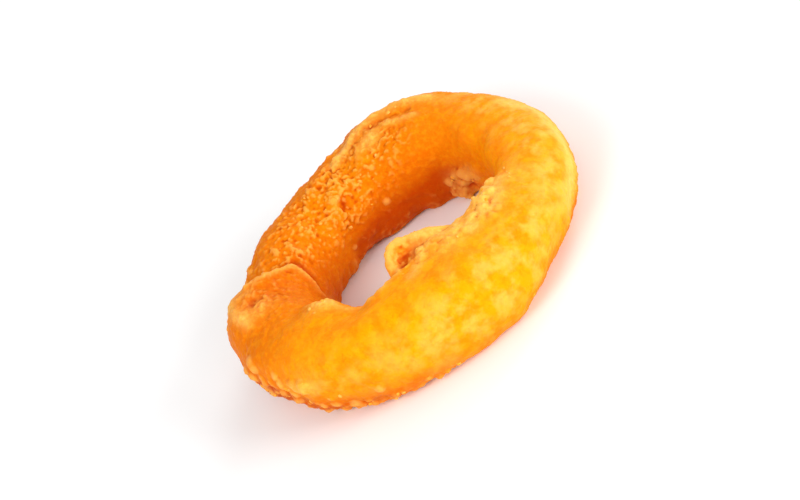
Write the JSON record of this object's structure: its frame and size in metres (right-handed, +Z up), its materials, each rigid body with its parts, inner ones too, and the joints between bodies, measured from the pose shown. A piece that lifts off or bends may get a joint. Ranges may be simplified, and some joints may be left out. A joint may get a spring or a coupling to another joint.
{
  "type": "onion ring",
  "caption": "Battered, deep-fried onion ring lying flat: a thick craggy golden ring, its batter overlapping at one end, with a cupped, torn flap standing at the hole.",
  "frame": {"origin": "middle of the ring's box, on the surface that the ring rests on", "axes": "+Z up out of the ring, +X along its longer width, with the torn flap on the -Y side of the hole and the overlap of the batter towards -X"},
  "size_m": [0.0748, 0.0692, 0.0201],
  "materials": {
    "batter": "fried batter, lightly oiled"
  },
  "bodies": {
    "root": {"onion_ring": "batter"}
  },
  "joints": []
}
